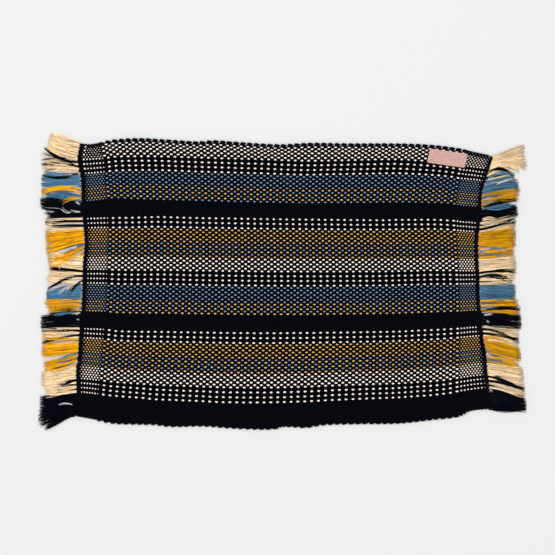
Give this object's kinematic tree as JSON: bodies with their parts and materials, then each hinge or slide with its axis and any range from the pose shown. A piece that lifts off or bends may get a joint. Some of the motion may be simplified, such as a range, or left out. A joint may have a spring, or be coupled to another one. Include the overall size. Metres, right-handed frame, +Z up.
{
  "type": "fabric placemat",
  "caption": "Flat hand-woven fabric placemat with a striped warp, long fringes at both ends and a small blank label sewn on near one corner.",
  "frame": {"origin": "on the table, under the middle of the mat with its fringes", "axes": "+X along the warp from the left fringe to the right one, +Y across the mat towards the labelled edge, +Z up off the table"},
  "size_m": [0.5683, 0.345, 0.0043],
  "materials": {
    "woven_cloth": "matte thick cotton plain weave, navy weft over a cream, mustard, blue and navy warp",
    "fringe_yarn": "soft loose cotton yarn ends in cream, mustard, blue and navy",
    "label_tape": "smooth pale pink woven tape, blank"
  },
  "bodies": {
    "root": {"mat_cloth": "woven_cloth", "fringe_left": "fringe_yarn", "fringe_right": "fringe_yarn", "label": "label_tape"}
  },
  "joints": []
}
